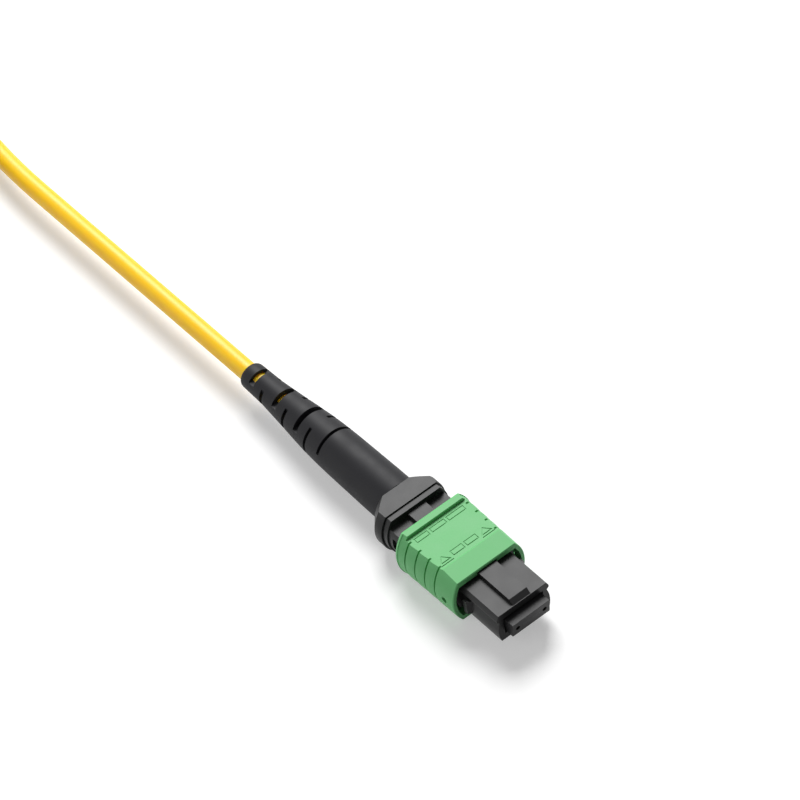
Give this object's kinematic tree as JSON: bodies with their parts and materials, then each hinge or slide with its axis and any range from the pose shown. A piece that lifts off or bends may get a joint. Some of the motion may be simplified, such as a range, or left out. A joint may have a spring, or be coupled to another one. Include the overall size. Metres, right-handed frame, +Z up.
{
  "type": "mpo fibre connector",
  "caption": "Multi-fibre push-on connector: keyed dark housing with floating ferrule, green pull sleeve and slotted boot, on round yellow cord.",
  "frame": {"origin": "middle of the connector's length and width, on the surface it lies on; the axis is 4.2 mm up", "axes": "+X out of the nose, +Y across it, +Z up, the key's side"},
  "size_m": [0.2099, 0.0302, 0.0181],
  "materials": {
    "housing_plastic": "satin moulded",
    "sleeve_plastic": "satin moulded",
    "ferrule_resin": "filled moulded resin",
    "boot_rubber": "satin",
    "sheath": "satin jacket",
    "spring_steel": "bright wire",
    "crimp_metal": "plain",
    "yarn": "loose yarn",
    "tie_strap": "hook and loop strap",
    "ribbon": "coated fibres"
  },
  "bodies": {
    "connector": {"inner_housing": "housing_plastic", "coupling_spring_left": "spring_steel", "coupling_spring_right": "spring_steel", "ferrule_spring": "spring_steel", "fibre_ribbon": "ribbon", "rear_body": "housing_plastic", "aramid_yarn": "yarn", "crimp_ring": "crimp_metal", "back_shell": "housing_plastic", "boot": "boot_rubber", "cable_end": "sheath", "far_inner_housing": "housing_plastic", "far_coupling_spring_left": "spring_steel", "far_coupling_spring_right": "spring_steel", "far_ferrule_spring": "spring_steel", "far_fibre_ribbon": "ribbon", "far_rear_body": "housing_plastic", "far_aramid_yarn": "yarn", "far_crimp_ring": "crimp_metal", "far_back_shell": "housing_plastic", "far_boot": "boot_rubber", "far_cable_end": "sheath", "cord_run": "sheath", "cord_hank": "sheath", "cord_tail": "sheath", "hank_tie": "tie_strap"},
    "sleeve": {"pull_sleeve": "sleeve_plastic"},
    "ferrule_group": {"ferrule": "ferrule_resin", "ferrule_boot": "boot_rubber", "pin_keeper": "ferrule_resin"},
    "far_sleeve": {"far_pull_sleeve": "sleeve_plastic"},
    "far_ferrule_group": {"far_ferrule": "ferrule_resin", "far_ferrule_boot": "boot_rubber", "far_pin_keeper": "ferrule_resin"}
  },
  "joints": [
    {"name": "sleeve_slide", "type": "slide", "parent": "connector", "child": "sleeve", "axis": [-1, 0, 0], "range_m": [0, 0.002], "stiffness_N_per_m": 600, "deforming": ["coupling_spring_left", "coupling_spring_right"]},
    {"name": "ferrule_float", "type": "slide", "parent": "connector", "child": "ferrule_group", "axis": [-1, 0, 0], "range_m": [0, 0.0009], "stiffness_N_per_m": 2000, "deforming": ["ferrule_spring", "fibre_ribbon"]},
    {"name": "far_sleeve_slide", "type": "slide", "parent": "connector", "child": "far_sleeve", "axis": [-1, 0, 0], "range_m": [0, 0.002], "stiffness_N_per_m": 600, "deforming": ["far_coupling_spring_left", "far_coupling_spring_right"]},
    {"name": "far_ferrule_float", "type": "slide", "parent": "connector", "child": "far_ferrule_group", "axis": [-1, 0, 0], "range_m": [0, 0.0009], "stiffness_N_per_m": 2000, "deforming": ["far_ferrule_spring", "far_fibre_ribbon"]}
  ]
}
